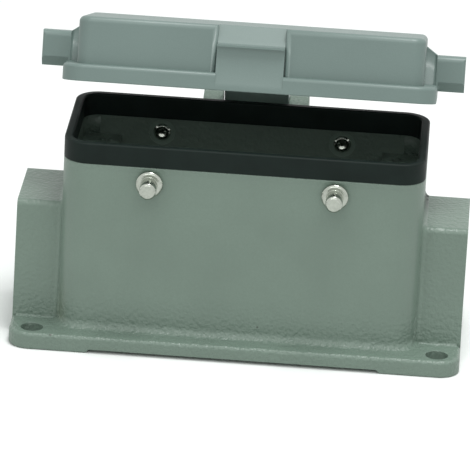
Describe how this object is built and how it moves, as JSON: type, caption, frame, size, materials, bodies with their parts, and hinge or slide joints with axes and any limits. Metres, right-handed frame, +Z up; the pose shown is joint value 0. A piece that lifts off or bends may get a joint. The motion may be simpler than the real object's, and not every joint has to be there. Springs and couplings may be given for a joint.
{
  "type": "heavy duty rectangular connector housing",
  "caption": "Surface mounting housing of a heavy duty rectangular connector: die-cast box on a flange, side cable entries, rim seal, locking pegs and a hinged cover.",
  "frame": {"origin": "middle of the four mounting holes, on the underside of the base plate", "axes": "+X along the housing towards the right cable entry, +Y towards the hinge side, +Z up from the mounting surface through the rim"},
  "size_m": [0.117, 0.0657, 0.0856],
  "materials": {
    "housing_paint": "satin",
    "seal_rubber": "satin",
    "bright_steel": "polished",
    "cover_plastic": "satin"
  },
  "bodies": {
    "base": {"housing": "housing_paint", "rim_seal": "seal_rubber", "peg_front_left": "bright_steel", "peg_front_right": "bright_steel", "peg_rear_left": "bright_steel", "peg_rear_right": "bright_steel", "hinge_pin": "bright_steel"},
    "cover": {"cover": "cover_plastic"}
  },
  "joints": [
    {"name": "cover_hinge", "type": "hinge", "parent": "base", "child": "cover", "pos_m": [0, 0.0333, 0.049], "axis": [-1, 0, 0], "range_deg": [-16.4, 163.6]}
  ]
}
